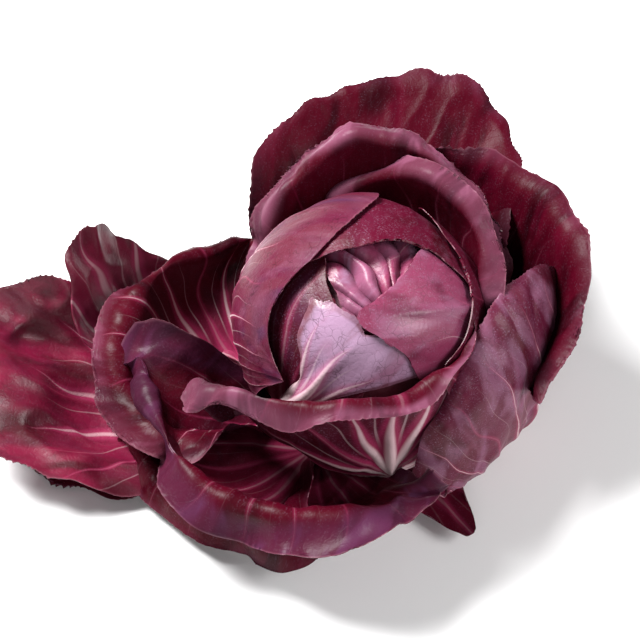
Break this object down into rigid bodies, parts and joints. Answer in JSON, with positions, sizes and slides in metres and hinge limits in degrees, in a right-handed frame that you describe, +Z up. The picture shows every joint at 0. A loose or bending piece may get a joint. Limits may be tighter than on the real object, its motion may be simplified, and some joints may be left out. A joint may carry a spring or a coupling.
{
  "type": "radicchio head",
  "caption": "Head of red chicory: tight round heart on a short cut stem, with loose cupped wrapper leaves round it and spread to one side.",
  "frame": {"origin": "centre of the stem's flat cut face, which the head stands on", "axes": "+Z up out of the heart; +X right and +Y back, as the picture looks at it from the front and above, so the spread leaf points along -X"},
  "size_m": [0.2742, 0.2316, 0.113],
  "materials": {
    "leaf": "satin wine-red leaf with pink-white ribs and a pale toothed margin",
    "ball_leaf": "satin mauve-pink leaf backs with white ribs and a fine dark vein net",
    "stem": "matt pale cut plant stem, browned on the cut face"
  },
  "bodies": {
    "root": {"stem": "stem", "ball": "ball_leaf", "back_inner_leaf": "leaf", "back_leaf": "leaf", "front_leaf": "leaf", "right_front_leaf": "leaf", "front_inner_leaf": "leaf", "left_inner_leaf": "leaf", "front_left_leaf": "leaf", "right_outer_leaf": "leaf", "back_outer_leaf": "leaf", "left_back_leaf": "leaf", "left_leaf": "leaf", "low_left_leaf": "leaf", "front_tip_leaf": "leaf"}
  },
  "joints": []
}
